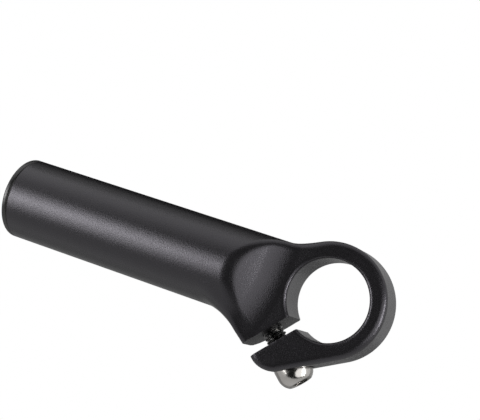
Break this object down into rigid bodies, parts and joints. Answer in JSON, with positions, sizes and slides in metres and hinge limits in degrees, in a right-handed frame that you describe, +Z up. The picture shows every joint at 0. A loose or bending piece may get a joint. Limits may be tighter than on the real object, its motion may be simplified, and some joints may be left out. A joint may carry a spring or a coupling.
{
  "type": "bicycle bar end",
  "caption": "Short straight bar end: a hollow handle tube with a split clamp ring for a handlebar's end, a clamp screw across the slot and a push-in end plug.",
  "frame": {"origin": "centre of the clamp's bore, on the handlebar's axis and midway between the clamp's faces", "axes": "+Y along the handlebar towards the bicycle's middle, the tube runs towards -X and leans 10.5 degrees to +Y, +Z is up with the tube level"},
  "size_m": [0.1157, 0.036, 0.041],
  "materials": {
    "anodised_aluminium": "shot-peened and black anodised, satin",
    "screw_steel": "polished head, dark thread",
    "plug_plastic": "matte black"
  },
  "bodies": {
    "bar_end": {"bar_end_body": "anodised_aluminium", "end_plug": "plug_plastic"},
    "screw": {"clamp_screw": "screw_steel"}
  },
  "joints": [
    {"name": "screw_turn", "type": "hinge", "parent": "bar_end", "child": "screw", "pos_m": [-0.00561, 0, -0.01894], "axis": [-0.749, 0, 0.6626], "range_deg": [-720, 270]}
  ]
}
